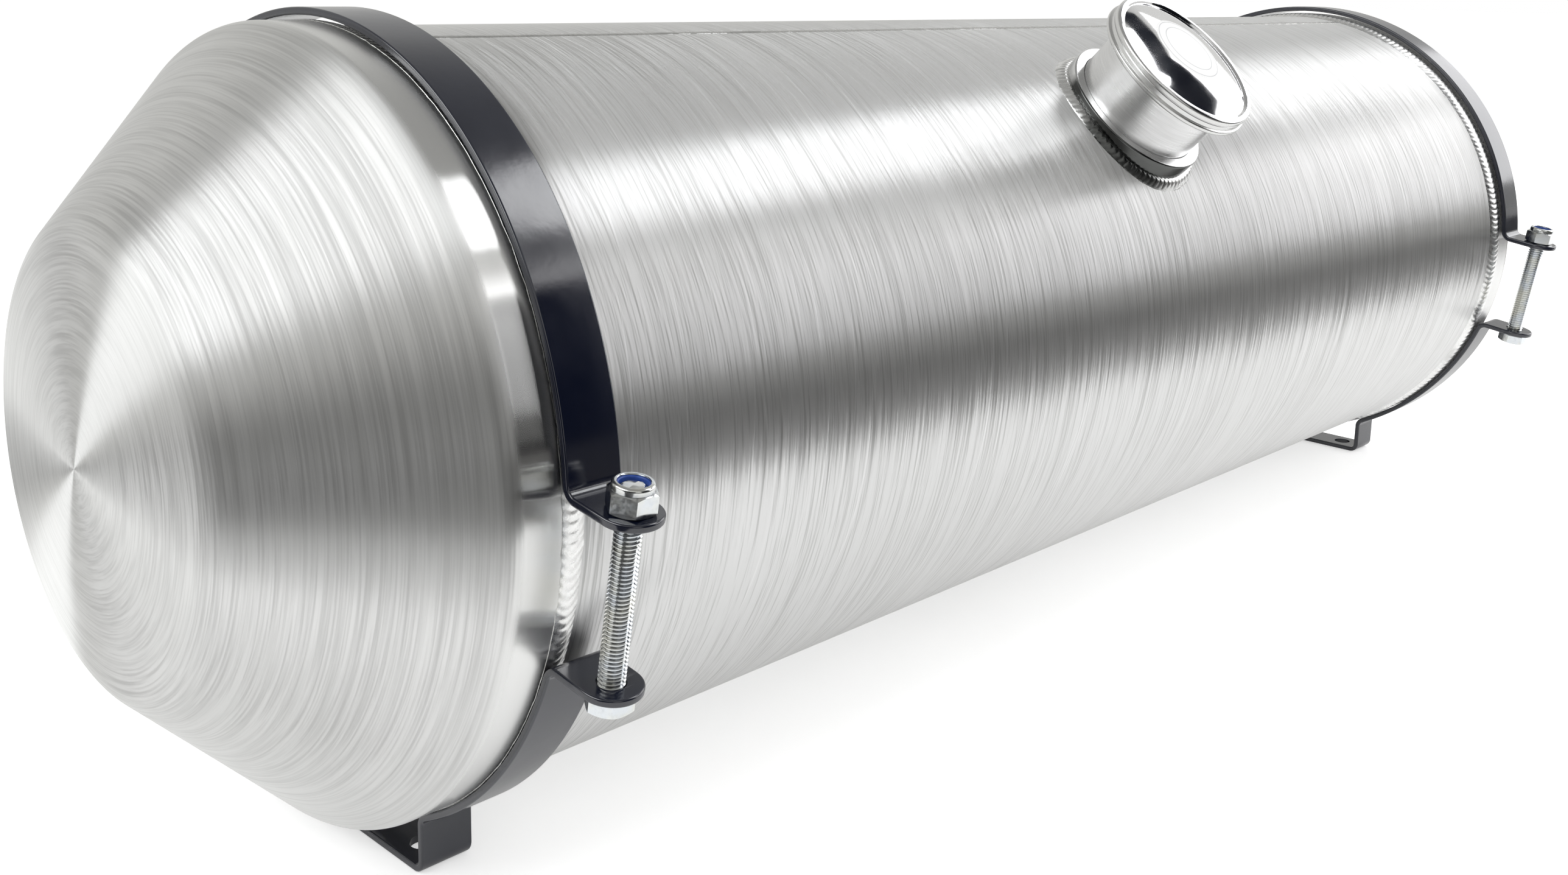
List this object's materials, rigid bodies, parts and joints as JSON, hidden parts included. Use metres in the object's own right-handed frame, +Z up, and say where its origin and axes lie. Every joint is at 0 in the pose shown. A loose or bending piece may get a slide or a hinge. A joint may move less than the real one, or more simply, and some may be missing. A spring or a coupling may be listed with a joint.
{
  "type": "spun aluminium fuel tank",
  "caption": "Long cylindrical aluminium fuel tank with cone-shaped spun ends, a welded side filler with a locking cap, and black strap brackets with feet.",
  "frame": {"origin": "on the floor, midway between the two feet, at the centre of the four foot holes", "axes": "+X along the tank towards its far end, +Z up; the filler and the ears of the straps face -Y"},
  "size_m": [0.8251, 0.2887, 0.2769],
  "materials": {
    "barrel_sheet": "brushed round the barrel",
    "spun_sheet": "spun, fine concentric marks",
    "weld_bead": "as welded",
    "machined": "machined",
    "black_paint": "gloss black",
    "zinc_plate": "bright zinc plated",
    "nylon": "blue nylon",
    "cap_chrome": "polished",
    "cap_steel": "plain",
    "gasket_rubber": "matte"
  },
  "bodies": {
    "tank": {"barrel": "barrel_sheet", "near_end_cap": "spun_sheet", "far_end_cap": "spun_sheet", "near_girth_weld": "weld_bead", "far_girth_weld": "weld_bead", "seam_weld": "weld_bead", "filler_ring": "machined", "filler_weld": "weld_bead", "filler_neck": "machined", "outlet_boss": "machined", "outlet_weld": "weld_bead", "near_strap": "black_paint", "far_strap": "black_paint", "near_bolt": "zinc_plate", "far_bolt": "zinc_plate", "near_nut": "zinc_plate", "far_nut": "zinc_plate", "near_lock_ring": "nylon", "far_lock_ring": "nylon"},
    "cap_seal": {"gasket": "gasket_rubber", "spring_plate": "cap_steel"},
    "cap": {"cap_cover": "cap_chrome", "cap_post": "cap_steel", "locking_plate": "cap_steel"}
  },
  "joints": [
    {"name": "cap_lift", "type": "slide", "parent": "tank", "child": "cap_seal", "axis": [0, -0.7071, 0.7071], "range_m": [0, 0.09]},
    {"name": "cap_turn", "type": "hinge", "parent": "cap_seal", "child": "cap", "pos_m": [-0.0094, -0.11102, 0.24852], "axis": [0, -0.7071, 0.7071], "range_deg": [-90, 0]}
  ]
}
